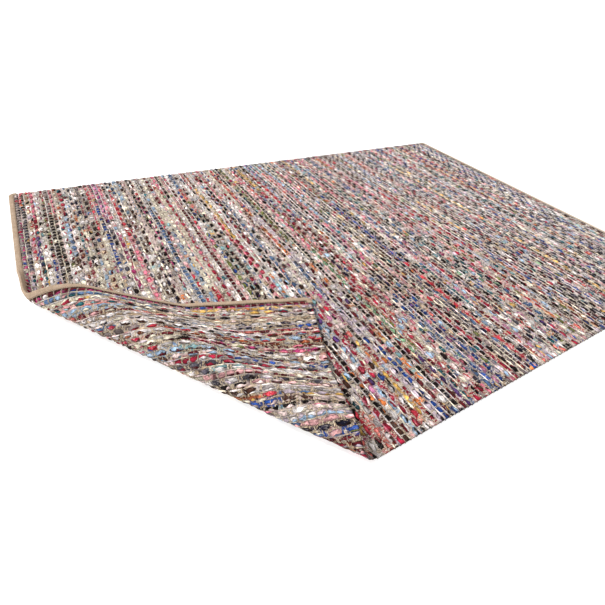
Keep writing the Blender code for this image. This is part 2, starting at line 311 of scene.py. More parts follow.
# The boldest strips, listed one by one, in millimetres: distance from the left bound end, from and
# to across the rug from the selvedge with the turned corner, the strip's rag, and the rag that it
# takes turns with.
BOLD_STRIPS = (
    # left end, upper side
    "24 960 1600 grey blush, 40 1460 1600 orange grey, 50 1500 1600 red crimson, "
    "50 1000 1460 slate mist, 75 1360 1600 pink red, 75 1220 1360 crimson maroon, "
    "80 1080 1220 violet magenta, 65 1100 1220 rose orchid, 100 1080 1500 black olive, "
    "100 900 1080 royal crimson, 117 900 1360 black black, 117 1360 1600 grey mist, "
    "137 940 1320 black maroon, 137 1320 1400 crimson maroon, 137 1400 1600 pink red, "
    "168 1050 1350 sky denim, 200 1280 1380 orange black, 205 1000 1260 teal denim, "
    "212 900 1000 crimson maroon, 235 980 1200 black slate, 245 1440 1600 slate grey, "
    "247 850 1020 sky white, 278 1200 1600 red pink, 293 1380 1600 pink rose, "
    "310 1260 1600 orchid magenta, 315 780 1160 magenta crimson, 338 1380 1560 black slate, "
    "338 1040 1120 mustard mustard, 338 950 1040 black black, 357 1100 1480 red pink, "
    "357 680 1100 pink rose, 372 740 920 slate navy, 390 1340 1600 sky mist, 410 660 820 navy black, "
    "425 820 980 navy pink, 442 1180 1600 black brown, 465 640 1290 denim navy, "
    "482 860 1020 rose maroon, 482 640 860 red black, 482 1020 1220 red maroon, 518 640 720 red pink, "
    "550 1340 1600 pink red, 550 640 1340 crimson maroon, 568 1360 1600 black grey, "
    "592 600 1270 maroon maroon, 607 600 1100 rose pink, 622 1140 1320 black sand, "
    "640 1440 1600 denim sky, 647 780 920 black black, 688 1420 1600 crimson rose, "
    "693 780 1160 crimson maroon, 710 940 1420 mustard cream, 738 880 1100 maroon crimson, "
    "765 1260 1600 pink crimson, "
    # the middle, and the front below the fold
    "650 0 100 red slate, 668 0 120 coral navy, 725 60 400 black black, 725 400 700 sky aqua, "
    "762 0 440 black brown, 777 20 460 crimson magenta, 795 40 320 mustard orange, "
    "812 780 1160 maroon brown, 828 1140 1440 coral rose, 828 780 1020 orange coral, "
    "815 260 360 black black, 825 0 300 crimson orange, 825 380 600 magenta orchid, "
    "845 360 520 black slate, 842 520 740 denim royal, 845 0 280 royal sky, 897 0 1360 black navy, "
    "912 0 560 maroon crimson, 928 220 800 green aqua, 928 0 220 violet maroon, "
    "945 1160 1260 denim teal, 940 1260 1360 coral magenta, 950 0 140 teal denim, "
    "957 420 540 red orange, 960 740 940 rose maroon, 975 560 720 navy violet, 1005 440 980 maroon rose, "
    "1000 60 420 blush rose, 1035 980 1460 slate navy, 1052 640 960 aqua sky, 1050 100 420 denim slate, "
    "1070 1200 1480 coral rust, 1078 0 620 black brown, 1092 20 400 royal white, "
    "1120 80 640 black slate, 1140 0 360 crimson maroon, 1137 360 640 rose coral, "
    "1180 60 580 slate teal, 1183 580 960 brown mustard, 1205 1200 1600 coral rose, "
    # the right half, paler with distance
    "1205 540 920 navy violet, 1220 40 560 red maroon, 1240 1100 1400 slate black, "
    "1260 100 500 maroon red, 1272 280 520 teal slate, 1303 1100 1300 maroon brown, "
    "1312 180 600 crimson rose, 1335 960 1200 teal aqua, 1355 1460 1600 rust brown, "
    "1375 220 760 teal slate, 1440 100 500 navy denim, 1443 900 1200 navy lilac, "
    "1452 1420 1560 orange coral, 1465 560 820 rose coral, 1483 100 260 orange red, "
    "1515 1200 1600 brown slate, 1575 1050 1400 denim lilac, "
    # the turned-over corner's underside
    "24 0 940 maroon black, 75 0 400 mist blush, 100 0 420 silver slate, 50 40 360 mustard orange, "
    "50 500 760 denim sky, 75 530 720 rose maroon, 92 460 720 sky white, 108 500 660 maroon coral, "
    "117 100 880 silver slate, 133 300 800 white mist, 122 0 240 navy royal, 150 0 160 crimson maroon, "
    "150 540 640 denim teal, 168 400 660 grey white, 185 300 560 silver black, "
    "210 460 620 crimson maroon, 222 0 360 magenta rose, 262 260 520 sky aqua, 280 220 400 blush maroon, "
    "295 260 390 crimson magenta, 295 390 660 blush aqua, 315 180 420 cream sand, "
    "330 240 340 aqua slate, 345 160 340 rose coral, 360 40 320 slate navy, 378 0 200 rose blush, "
    "395 0 200 mist lilac, 412 0 160 lilac denim, 430 0 120 blush sand, 410 180 300 rust orange, "
    "430 140 260 royal navy, 450 20 160 blush white, 465 0 160 lilac mist, 482 0 120 rose maroon, "
    "497 0 160 navy black, 517 0 80 royal rose, 552 20 100 crimson rust, "
    # the tip at the front, over the roll
    "537 0 100 maroon brown, 570 0 120 rust maroon, 592 0 120 crimson coral, 607 0 120 brown coral, "
    "625 0 140 coral red"
)
SHORTEST_STRIP, LONGEST_STRIP = 10, 70  # warp groups
MAIN_SHARE, SECOND_SHARE = 0.74, 0.14  # of a strip's lumps
BOLD_SHARE, BOLD_OTHER_SHARE = 0.84, 0.12  # of a bold strip's lumps
TONE_SPREAD = 0.28


def strip_of_rags(length, shares):
    """One torn strip: mostly one rag, folded so that a second and some others show."""
    main, second = weave_dice.choice(len(RAG_NAMES), 2, p=shares)
    chance = weave_dice.random(length)
    others = weave_dice.choice(len(RAG_NAMES), length, p=RAG_SHARES)
    seconds = np.where(chance < MAIN_SHARE + SECOND_SHARE, second, others)
    return np.where(chance < MAIN_SHARE, main, seconds)


def colours_of_rows(row_x, shares):
    """Which rag each row shows where it crosses each warp group."""
    chosen = np.empty((len(row_x), WARP_GROUPS), int)
    for row in range(len(row_x)):
        group = 0
        while group < WARP_GROUPS:
            length = int(weave_dice.integers(SHORTEST_STRIP, LONGEST_STRIP))
            length = min(length, WARP_GROUPS - group)
            chosen[row, group:group + length] = strip_of_rags(length, shares)
            group += length
    return chosen


rag_cells = colours_of_rows(rag_row_x, RAG_SHARES)
from_left = (rag_row_x + LENGTH / 2)[:, None]
from_front = ((np.arange(WARP_GROUPS) + 0.5) * GROUP)[None]

# Pale strips are more common in the left part, beyond the fold
LEFT_PALE = 0.30
LEFT_UNTIL, FOLD_REACH = 0.75, 0.60
at_left = (from_left < LEFT_UNTIL) & (from_front > FOLD_REACH)
is_deep = are_among(DEEP_RAGS)[rag_cells]
paler_shares = RAG_SHARES * are_among((*PALE_RAGS, "sky", "rose", "aqua"))
paler = weave_dice.choice(len(RAG_NAMES), rag_cells.shape, p=paler_shares / paler_shares.sum())
lightened = at_left & is_deep & (weave_dice.random(rag_cells.shape) < LEFT_PALE)
rag_cells = np.where(lightened, paler, rag_cells)

# Blue and teal strips are more common beyond the middle, in place of red and brown ones
RIGHT_BLUE, BLUE_FROM = 0.32, 1.0
is_warm = are_among(WARM_RAGS)[rag_cells]
bluer = weave_dice.choice(numbers_of(("teal", "denim", "navy", "royal", "slate")), (RAG_ROWS, 1))
turned_blue = (from_left > BLUE_FROM) & is_warm & (weave_dice.random((RAG_ROWS, 1)) < RIGHT_BLUE)
rag_cells = np.where(turned_blue, bluer, rag_cells)

for strip in BOLD_STRIPS.split(","):
    *places, rag, other = strip.split()
    at, start, end = (int(place) / 1000 for place in places)
    row = nearest_row(at)
    groups = slice(round(start / GROUP), round(end / GROUP))
    kept = rag_cells[row, groups]
    chance = weave_dice.random(len(kept))
    main, second = numbers_of((rag, other))
    seconds = np.where(chance < BOLD_SHARE + BOLD_OTHER_SHARE, second, kept)
    rag_cells[row, groups] = np.where(chance < BOLD_SHARE, main, seconds)


def shown_colours(cells):
    """Linear colours with a tone of their own, and in alpha how strongly each cell is printed."""
    colours = RAG_COLOURS[cells]
    tone = np.exp(weave_dice.normal(0, TONE_SPREAD, cells.shape))
    printed = weave_dice.random(cells.shape) ** 4
    return np.concatenate((colours * tone[..., None], printed[..., None]), axis=-1)


# Dark strips are more common at the front, below the fold, and somewhat in the right half
FRONT_DARK, RIGHT_DARK, DARK_FROM = 0.64, 0.62, 0.95
FRONT_FROM, FRONT_UNTIL, FRONT_DEPTH = 0.62, 1.25, 0.55
BLUE_TIMES = 2.4  # how many times as common blue and green are among them
blue_times = np.where(are_among(BLUE_AND_GREEN), BLUE_TIMES, 1.0)
dark_shares = np.where(are_among(PALE_RAGS), 0.0, RAG_SHARES) * blue_times
at_front = (from_left > FRONT_FROM) & (from_left < FRONT_UNTIL) & (from_front < FRONT_DEPTH)
dark_times = np.where(at_front, FRONT_DARK, np.where(from_left > DARK_FROM, RIGHT_DARK, 0.0))
is_pale = dark_shares[rag_cells] == 0
darkened = is_pale & (weave_dice.random(rag_cells.shape) < dark_times)
darker = weave_dice.choice(len(RAG_NAMES), rag_cells.shape, p=dark_shares / dark_shares.sum())
rag_cells = np.where(darkened, darker, rag_cells)

rag_cell_colours = shown_colours(rag_cells)
fold_colours = shown_colours(colours_of_rows(rag_row_x, RAG_SHARES))


def new_material(name, roughness):
    made = bpy.data.materials.new(name)
    made.use_nodes = True
    shader = made.node_tree.nodes["Principled BSDF"]
    shader.inputs["Roughness"].default_value = roughness
    shader.inputs["Specular IOR Level"].default_value = 0.1
    return made, made.node_tree, shader


class Wire:
    """A node's output. Each sum that is done with it adds a Math node to its tree."""

    def __init__(self, tree, socket):
        self.tree = tree
        self.socket = socket

    def maths(self, operation, *others):
        feeds = dict(enumerate((self, *others)))
        return add_node(self.tree, "ShaderNodeMath", feeds, operation=operation)[0]

    def clamped(self):
        """Keeps the last sum within 0 and 1."""
        self.socket.node.use_clamp = True
        return self

    def __add__(self, other):
        return self.maths("ADD", other)

    def __sub__(self, other):
        return self.maths("SUBTRACT", other)

    def __rsub__(self, other):
        return self * -1.0 + other

    def __mul__(self, other):
        return self.maths("MULTIPLY", other)

    def __truediv__(self, other):
        return self.maths("DIVIDE", other)


def add_node(tree, kind, feeds=None, **settings):
    """Adds a node, and gives its outputs by number and by name. A feed that is a wire is linked, and
    any other is the input's value."""
    made = tree.nodes.new(kind)
    for name, value in settings.items():
        setattr(made, name, value)
    for name, value in (feeds or {}).items():
        if isinstance(value, Wire):
            tree.links.new(value.socket, made.inputs[name])
        else:
            made.inputs[name].default_value = value
    wires = [Wire(tree, socket) for socket in made.outputs]
    return {**dict(enumerate(wires)), **{wire.socket.name: wire for wire in wires}}


def flat_place(tree):
    """The place on the flat rug, from the corner that is turned over."""
    return add_node(tree, "ShaderNodeUVMap", uv_map="flat")[0]


def flat_parts(tree):
    return add_node(tree, "ShaderNodeSeparateXYZ", {0: flat_place(tree)})


def noise(tree, scale, detail=2.0):
    """Noise on the flat rug, with its own scale along and across the warp."""
    place = add_node(tree, "ShaderNodeMapping", {"Vector": flat_place(tree), "Scale": (*scale, 1)})[0]
    feeds = {"Vector": place, "Scale": 1.0, "Detail": detail, "Roughness": 0.6}
    return add_node(tree, "ShaderNodeTexNoise", feeds)[0]


def cloud(tree, scale, centre, sharpness):
    """Patches from 0 to 1: a share of the cloth that shrinks as the centre rises, with firm edges."""
    return ((noise(tree, scale, 3.0) - centre) * sharpness).clamped()


def mixed(tree, share, first, second, blend="MIX"):
    """Mixes two colours, each a wire or a dyed colour."""
    first, second = (value if isinstance(value, Wire) else (*value, 1) for value in (first, second))
    feeds = {0: share, 6: first, 7: second}
    return add_node(tree, "ShaderNodeMix", feeds, data_type="RGBA", blend_type=blend)[2]


def cover(tree, shader, colour, height, depth, strength=1.0):
    """Gives the surface its colour, and presses the height into it."""
    feeds = {"Height": height, "Distance": depth, "Strength": strength}
    pressed = add_node(tree, "ShaderNodeBump", feeds)[0]
    tree.links.new(colour.socket, shader.inputs["Base Color"])
    tree.links.new(pressed.socket, shader.inputs["Normal"])


def jute_finish(name, yarn_pitch, along_warp, parted=0.0):
    """Two-ply jute yarns: round, hairy, twisted, no two the same tan. Where they part, the rag that
    they lie on shows between them."""
    made, tree, shader = new_material(name, 0.9)
    from_left, from_front = (flat_parts(tree)[axis] for axis in "XY")
    across = from_front if along_warp else from_left
    yarns = (noise(tree, (60, 40)) * (0.9 * yarn_pitch) + across) / yarn_pitch
    round_top = (yarns * (2 * math.pi)).maths("COSINE") * 0.5 + 0.5
    feeds = {"W": yarns.maths("ROUND")}
    lot = add_node(tree, "ShaderNodeTexWhiteNoise", feeds, noise_dimensions="1D")[0]
    tan = mixed(tree, lot, dyed(188, 164, 138), dyed(224, 208, 188))

    # The underside, which only the turned-over corner shows, is browner and less bleached
    in_corner = 1.0 - from_left / CORNER_TO_FOLD_ON_SELVEDGE - from_front / CORNER_TO_FOLD_ON_END
    underside = (in_corner * 20.0).clamped()
    tan = mixed(tree, underside * 0.55, tan, dyed(214, 188, 150))
    # Beyond the middle, towards the right end, it is paler
    to_right = (from_left * 1.2 - 1.2).clamped()
    tan = mixed(tree, to_right * 0.7, tan, dyed(238, 226, 216))
    pale = cloud(tree, (95, 170), 0.51, 14.0)
    tan = mixed(tree, pale * (0.85 - underside * 0.45), tan, dyed(252, 243, 235))
    grain = noise(tree, (300, 430), 1.0) * 3.0 - 0.62
    tan = mixed(tree, 1.0, tan, grain, "MULTIPLY")

    under = add_node(tree, "ShaderNodeAttribute", attribute_name="under")
    if parted:
        lit = mixed(tree, 0.08, under["Color"], dyed(66, 48, 42))
        tan = mixed(tree, cloud(tree, (85, 150), 1 - parted, 14.0), tan, lit)
    # Painted shade: a dark brown with a little of the rag beneath, between the round yarns and where the
    # layer sinks low beside the lumps
    shade = mixed(tree, 0.68, under["Color"], dyed(46, 24, 20))
    gap = (1.2 - round_top * 3.2).clamped() * 0.7
    sunk = (0.9 - under["Alpha"] * 3.0).clamped()
    # The rows lie closer towards the right end, with fewer holes, each drawn as a patch of painted shade
    beaten_open = ((CLOSE_FROM - from_left) / (CLOSE_FROM - OPEN_UNTIL)).clamped()
    shaded_holes = cloud(tree, (105, 160), 0.54, 16.0) * (beaten_open * (OPEN_HOLES - CLOSE_HOLES) + CLOSE_HOLES)
    gap = gap.maths("MAXIMUM", sunk).maths("MAXIMUM", shaded_holes)
    colour = mixed(tree, gap * 0.95, tan, shade)
    cover(tree, shader, colour, pale * 0.5 + round_top, 0.0012, 0.9)
    return made


warp_mesh = warp_layer_mesh()
flat_warps = coordinates(warp_mesh)
rows_under = np.abs(flat_warps[:, :1] - rag_row_x[None]).argmin(axis=1)
groups_under = np.clip(((flat_warps[:, 1] + WIDTH / 2) / GROUP).astype(int), 0, WARP_GROUPS - 1)
shown_under = rag_cell_colours[rows_under, groups_under]
upper_count = len(flat_warps) // 2
facing = np.where(np.arange(len(flat_warps)) < upper_count, 1.0, -1.0)
# In alpha, how high the layer lies over the rags: where it lies low, its finish paints shade
shown_under[:, 3] = np.clip(flat_warps[:, 2] * facing / (WARP_LAYER / 2 + WARP_LIFT), 0, 1)
paint(warp_mesh, "under", shown_under)
fold_mesh(warp_mesh, flat_warps)
jute_warps = add_piece("jute_warps", warp_mesh, jute_finish("jute_warp", YARN_PITCH, True, 0.52))

# -------- the wefts
# Wide wefts are torn strips of cotton, folded and crumpled as they were beaten in, and a thin pick
# of jute or of a narrow strip follows each. Each is one long flattened tube that rises into a lump
# between the warps and dips beneath them.

RAG_HALF_WIDTH = (0.0062, 0.0076)
RAG_HALF_HEIGHT = 0.0028
RAG_WAVE = 0.0015  # how far a rag weft rises and dips
RAG_PINCH = 0.14  # of a lump's size, beneath a warp
EVEN_HALF_WIDTH = 0.0082
EVEN_HALF_HEIGHT = 0.0040
EVEN_WAVE = 0.0002
EVEN_PINCH = 0.42
UNDERSIDE_OFFSET = -0.0001  # of the wefts from mid cloth, so that more of them shows underneath
RINGS_PER_GROUP = 3
STRAY = 0.0062  # between the furthest that a lump lies from its row's line, either way
PAIR_SPLIT = 0.34  # of a lump's size, where a thin warp splits it
TURN_DEPTH = 0.0048  # of the wefts' turns beyond their straight parts, at the selvedges
TAPE_WIDTH = 0.017
UNDER_TAPE = 0.002  # how far the rows nearest to an end run in under the tape's corner
NEAR_END = 0.030


def new_tree(name, inputs):
    """A tree that grows a piece on points, with named inputs. Gives it and what it is given."""
    tree = bpy.data.node_groups.new(name, "GeometryNodeTree")
    for socket, kind in {"Places": "Geometry", **inputs, "Finish": "Material"}.items():
        tree.interface.new_socket(name=socket, in_out="INPUT", socket_type=f"NodeSocket{kind}")
    tree.interface.new_socket(name="Piece", in_out="OUTPUT", socket_type="NodeSocketGeometry")
    return tree, add_node(tree, "NodeGroupInput")


def stored(tree, name, kind="FLOAT"):
    return add_node(tree, "GeometryNodeInputNamedAttribute", {"Name": name}, data_type=kind)[0]


def tubes_on_points(tree, points, start, end, rings, sides, capped):
    """Sets a straight tube on each point, and gives the tubes, and each corner's own place on them."""
    line = add_node(tree, "GeometryNodeCurvePrimitiveLine", {"Start": start, "End": end})[0]
    line = add_node(tree, "GeometryNodeResampleCurve", {"Curve": line, "Count": rings})[0]
    feeds = {"Resolution": sides, "Radius": 1.0}
    circle = add_node(tree, "GeometryNodeCurvePrimitiveCircle", feeds)[0]
    feeds = {"Curve": line, "Profile Curve": circle, "Fill Caps": capped}
    tube = add_node(tree, "GeometryNodeCurveToMesh", feeds)[0]
    place = add_node(tree, "GeometryNodeInputPosition")[0]
    feeds = {"Geometry": tube, "Name": "section", "Value": place}
    vector = {"data_type": "FLOAT_VECTOR", "domain": "POINT"}
    tube = add_node(tree, "GeometryNodeStoreNamedAttribute", feeds, **vector)[0]
    points = add_node(tree, "GeometryNodeMeshToPoints", {"Mesh": points})[0]
    placed = add_node(tree, "GeometryNodeInstanceOnPoints", {"Points": points, "Instance": tube})[0]
    tubes = add_node(tree, "GeometryNodeRealizeInstances", {"Geometry": placed})[0]
    section = add_node(tree, "ShaderNodeSeparateXYZ", {0: stored(tree, "section", "FLOAT_VECTOR")})
    return tubes, section["X"], section["Y"], section["Z"]


def shape_and_finish(tree, tubes, x, y, z, finish):
    """Moves the tubes' corners to their places, and gives them their material."""
    there = add_node(tree, "ShaderNodeCombineXYZ", {0: x, 1: y, 2: z})[0]
    moved = add_node(tree, "GeometryNodeSetPosition", {"Geometry": tubes, "Position": there})[0]
    done = add_node(tree, "GeometryNodeSetMaterial", {"Geometry": moved, "Material": finish})[0]
    add_node(tree, "NodeGroupOutput", {0: done})


def waver(tree, place, lot, detail):
    """Smooth noise from -0.5 to 0.5, another one for each lot."""
    feeds = {"Vector": place, "W": lot, "Scale": 1.0, "Detail": detail}
    return add_node(tree, "ShaderNodeTexNoise", feeds, noise_dimensions="4D")[0] - 0.5


def weft_tree():
    """Sets one flattened, waving, crumpled tube on each row's point."""
    floats = dict.fromkeys(("Group width", "Crumple", "Crumple seed", "Stray", "Offset"), "Float")
    tree, given = new_tree("weft_rows", {"Rings": "Int", "Sides": "Int", **floats})
    number = partial(stored, tree)
    tubes, sx, sy, sz = tubes_on_points(
        tree, given["Places"], (0, -0.5, 0), (0, 0.5, 0), given["Rings"], given["Sides"], True
    )
    y = (sy * number("span")).maths("MINIMUM", number("reach")).maths("MAXIMUM", number("reach") * -1.0)
    # Over and under the warp groups in turn, flat at the top, and pinched in between
    swing = ((y / given["Group width"] - 0.5 + number("shed")) * math.pi).maths("COSINE")
    over = swing.maths("SIGN") * swing.maths("ABSOLUTE").maths("POWER", 0.65)
    level = over * over
    lump = 1.0 - number("pinch") * (1.0 - level) - number("pair") * level.maths("POWER", 4.0)
    # Crumpled, and wandering a little from its line
    lot = number("row") * 3.7 + given["Crumple seed"]
    around = add_node(tree, "ShaderNodeCombineXYZ", {0: sx * 1.2, 1: y * 70.0, 2: sz * 1.2})[0]
    swell = lump * (waver(tree, around, lot, 1.0) * given["Crumple"] + 1.0)
    along = add_node(tree, "ShaderNodeCombineXYZ", {1: y * 48.0})[0]
    stray = waver(tree, along, lot + 50.0, 0.0) * given["Stray"]
    x = sx * number("half_width") * swell + (number("row_x") + stray)
    z = sz * number("half_height") * swell + over * number("wave") + given["Offset"]
    shape_and_finish(tree, tubes, x, y, z, given["Finish"])
    return tree


def points_with_numbers(name, numbers):
    """A mesh of loose points, one for each row or tie, that carry what the tree reads."""
    mesh = bpy.data.meshes.new(name)
    count = len(next(iter(numbers.values())))
    mesh.from_pydata([(0, 0, 0)] * count, [], [])
    for key, values in numbers.items():
        layer = mesh.attributes.new(key, "FLOAT", "POINT")
        layer.data.foreach_set("value", np.asarray(values, np.float32))
    return mesh


def grown(name, numbers, tree, inputs):
    """Runs a tree on points with numbers, and gives the plain mesh that comes out."""
    start = bpy.data.objects.new(name, points_with_numbers(name, numbers))
    bpy.context.scene.collection.objects.link(start)
    modifier = start.modifiers.new("grow", "NODES")
    modifier.node_group = tree
    for item in tree.interface.items_tree:
        if item.in_out == "INPUT" and item.name in inputs:
            modifier[item.identifier] = inputs[item.name]
    seen = start.evaluated_get(bpy.context.evaluated_depsgraph_get())
    mesh = bpy.data.meshes.new_from_object(seen)
    bpy.data.objects.remove(start, do_unlink=True)
    return mesh


def read_numbers(mesh, name, width=1):
    values = np.empty(len(mesh.vertices) * width, np.float32)
    mesh.attributes[name].data.foreach_get("vector" if width == 3 else "value", values)
    return values.reshape(-1, width) if width > 1 else values


def drop_numbers(mesh, names):
    for name in (*names, "section"):
        mesh.attributes.remove(mesh.attributes[name])


def lump_cells(mesh, flat):
    """Which warp group's rag shows at each point: lumps above and below take theirs in turn."""
    section = read_numbers(mesh, "section", 3)
    shed = read_numbers(mesh, "shed")
    even = read_numbers(mesh, "wave") < RAG_WAVE / 2
    group = flat[:, 1] / GROUP - 0.5 + WARP_GROUPS / 2
    above = 2 * np.round((group + shed) / 2) - shed
    below = 2 * np.round((group + shed - 1) / 2) + 1 - shed
    cell = np.where(section[:, 2] > -0.1, above, below)
    cell = np.where(even, np.round(group), cell)
    return np.clip(cell, 0, WARP_GROUPS - 1).astype(int)


def rag_finish(name, shade_amount):
    """Crumpled cotton, folded so that its other side shows in streaks along the strip."""
    made, tree, shader = new_material(name, 0.88)
    rag = add_node(tree, "ShaderNodeAttribute", attribute_name="rag")
    inner = add_node(tree, "ShaderNodeAttribute", attribute_name="inner")

    # The strip is folded in two lengthwise, and the inner cloth shows beside the fold
    past_fold = inner["Alpha"] + (noise(tree, (30, 42), 1.0) * 2.6 - 1.92)
    colour = mixed(tree, (past_fold * 14.0).clamped(), rag["Color"], inner["Color"])
    # Painted shade along the fold
    fold_shade = (1.0 - past_fold.maths("ABSOLUTE") * 9.0).clamped()
    colour = mixed(tree, fold_shade * (0.88 * shade_amount), colour, dyed(42, 22, 20))
    printed = cloud(tree, (230, 150), 0.52, 8.0) * rag["Alpha"]
    colour = mixed(tree, printed, colour, mixed(tree, 0.5, colour, dyed(246, 232, 224)))
    grain = noise(tree, (260, 140), 2.0) * 2.2 - 0.2
    colour = mixed(tree, 1.0, colour, grain, "MULTIPLY")
    # Pale cloth frays more
    lightness = add_node(tree, "ShaderNodeRGBToBW", {0: rag["Color"]})[0]
    frayed = cloud(tree, (300, 110), 0.62, 18.0) * (lightness * 0.9 + 0.10).clamped()
    colour = mixed(tree, frayed, colour, dyed(250, 238, 230))
    # Painted shade in the deep crumples, in streaks along the strip
    deep = cloud(tree, (210, 60), 0.60, 14.0) * (0.85 * shade_amount)
    colour = mixed(tree, deep, colour, dyed(40, 20, 18))
    creases = noise(tree, (4200, 4200), 1.0) * 0.12 + noise(tree, (420, 85), 3.0)
    cover(tree, shader, colour, creases, 0.0022)
    return made


shape_dice = np.random.default_rng(5)
# The second number is how much painted shade the folds and crumples take
rag_cloth = rag_finish("cotton_rags", 1.0)
thin_rag_cloth = rag_finish("thin_cotton_strips", 0.4)
rows_tree = weft_tree()
near_end = np.abs(rag_row_x) > LENGTH / 2 - NEAR_END
rag_rows = {
    "row": np.arange(RAG_ROWS),
    "row_x": rag_row_x,
    "half_width": np.where(is_even, EVEN_HALF_WIDTH, shape_dice.uniform(*RAG_HALF_WIDTH, RAG_ROWS)),
    "half_height": np.where(is_even, EVEN_HALF_HEIGHT, RAG_HALF_HEIGHT),
    "wave": np.where(is_even, EVEN_WAVE, RAG_WAVE),
    "shed": rag_row_shed,
    "pinch": np.where(is_even, EVEN_PINCH, RAG_PINCH),
    "pair": np.where(is_pair, PAIR_SPLIT, 0.0),
    "span": np.where(near_end, WIDTH - 2 * (TAPE_WIDTH - UNDER_TAPE), WIDTH),
    "reach": np.where(near_end, WIDTH / 2 - TAPE_WIDTH + UNDER_TAPE, WIDTH / 2 - TURN_DEPTH),
}

# How a band of wefts is made: the tubes' sides and rings, how crumpled they are, and how far from
# mid cloth their colour is in full shade
Make = namedtuple("Make", "sides rings_per_group crumple seed shaded_to finish")
RAG_MAKE = Make(8, RINGS_PER_GROUP, 1.5, 1.0, 0.0010, rag_cloth)
THIN_RAG_MAKE = Make(4, 2, 0.9, 5.0, -0.0008, thin_rag_cloth)
JUTE_MAKE = Make(4, 2, 0.3, 9.0, 0.0010, jute_finish("jute_weft", 0.0021, False))
SHADE_DEPTH = 0.0024
DARKEST, LIGHTENS = 0.16, 0.88  # of a weft's colour: in full shade, and more out of it
EDGE_SHADE_FROM, EDGE_SHADE_DEPTH, DARKEST_EDGE = 0.0030, 0.0050, 0.25  # towards the selvedge


def weft_piece(name, table, chosen, rag_colours, inner_colours, make):
    """The chosen rows of a table, painted lump by lump and turned over with the corner."""
    rows = {key: values[chosen] for key, values in table.items()}
    inputs = {
        "Rings": WARP_GROUPS * make.rings_per_group + 1,
        "Sides": make.sides,
        "Group width": GROUP,
        "Crumple": make.crumple,
        "Crumple seed": make.seed,
        "Stray": STRAY,
        "Offset": UNDERSIDE_OFFSET,
        "Finish": make.finish,
    }
    mesh = grown(name, rows, rows_tree, inputs)
    flat = coordinates(mesh)
    row = np.round(read_numbers(mesh, "row")).astype(int)
    cell = lump_cells(mesh, flat)
    # Painted shade: each weft's colour is darker towards mid cloth, where it sinks between the warps, and
    # at its turns at the selvedge
    lit = DARKEST + LIGHTENS * np.clip((np.abs(flat[:, 2]) - make.shaded_to) / SHADE_DEPTH, 0, 1)
    from_edge = WIDTH / 2 - EDGE_SHADE_FROM - np.abs(flat[:, 1])
    lit_at_edge = np.clip(from_edge / EDGE_SHADE_DEPTH, DARKEST_EDGE, 1)
    for layer, shown in (("rag", rag_colours), ("inner", inner_colours)):
        colours = shown[row, cell]
        colours[:, :3] *= lit[:, None] * lit_at_edge[:, None]
        if layer == "inner":
            colours[:, 3] = 0.5 + 0.5 * read_numbers(mesh, "section", 3)[:, 0]
        paint(mesh, layer, colours)
    fold_mesh(mesh, flat)
    drop_numbers(mesh, rows)
    return add_piece(name, mesh, make.finish)


BANDS = {"left": slice(0, 46), "middle": slice(46, 92), "right": slice(92, RAG_ROWS)}
rag_wefts = [
    weft_piece(f"rag_wefts_{band}", rag_rows, members, rag_cell_colours, fold_colours, RAG_MAKE)
    for band, members in BANDS.items()
]

# Thin picks: jute, or a narrow strip that shows as a fine line right across the rug
THIN_RAG_SHARE = 0.5
# At two distances from the left end: the share of narrow strips that are lines, and their half width
LINE_SHARES = ((0.8, 1.2), (0.30, 0.80))
LINE_HALF_WIDTHS = ((0.7, 1.3), (0.0019, 0.0028))
LIGHT_TIMES = 8  # how many times as common the light rags are in the thin strips
THIN_PINCH = 0.25
THIN_INSET = 0.003  # of the picks' turns from the selvedge
THIN_ROWS = RAG_ROWS - 1

is_thin_rag = shape_dice.random(THIN_ROWS) < THIN_RAG_SHARE
light_times = np.where(are_among(LIGHT_RAGS), LIGHT_TIMES, 1)
thin_shares = RAG_SHARES * light_times
line_shares = thin_shares * light_times
thin_cells = colours_of_rows(thin_row_x, thin_shares / thin_shares.sum())
line_cells = colours_of_rows(thin_row_x, line_shares / line_shares.sum())
# Some thin strips lie on the warps, and show as unbroken lines: those beside the even rows, and others
thin_from_left = thin_row_x + LENGTH / 2
line_share = np.interp(thin_from_left, *LINE_SHARES)
beside_even = is_even[:-1] | is_even[1:]
is_line = beside_even | (is_thin_rag & (shape_dice.random(THIN_ROWS) < line_share))
is_thin_rag |= is_line
thin_cells = np.where(is_line[:, None], line_cells, thin_cells)
# At the front they are duller, and break up
DULL_SHARE = 0.70
duller = shape_dice.choice(numbers_of(("sand", "mist", "grey", "lilac", "cream")), thin_cells.shape)
is_dull = (from_front < FOLD_REACH) & (shape_dice.random(thin_cells.shape) < DULL_SHARE)
thin_cell_colours = shown_colours(np.where(is_dull, duller, thin_cells))
line_half_width = np.interp(thin_from_left, *LINE_HALF_WIDTHS)


def by_kind(line, strip, jute):
    """A size for each thin pick: of a fine line, of another narrow strip, or of jute."""
    return np.where(is_line, line, np.where(is_thin_rag, strip, jute))


thin_rows = {
    "row": np.arange(THIN_ROWS),
    "row_x": thin_row_x,
    "half_width": by_kind(line_half_width, 0.0034, 0.0019),
    "half_height": by_kind(0.0037, 0.0027, 0.0020),
    "wave": by_kind(0.0003, 0.0015, 0.0012),
    "shed": (rag_row_shed[:-1] + 1) % 2,
    "pinch": np.full(THIN_ROWS, THIN_PINCH),
    "pair": np.zeros(THIN_ROWS),
    "span": np.full(THIN_ROWS, WIDTH),
    "reach": np.full(THIN_ROWS, WIDTH / 2 - THIN_INSET),
}
thin_rags = weft_piece(
    "thin_rag_picks", thin_rows, is_thin_rag, thin_cell_colours, thin_cell_colours, THIN_RAG_MAKE
)
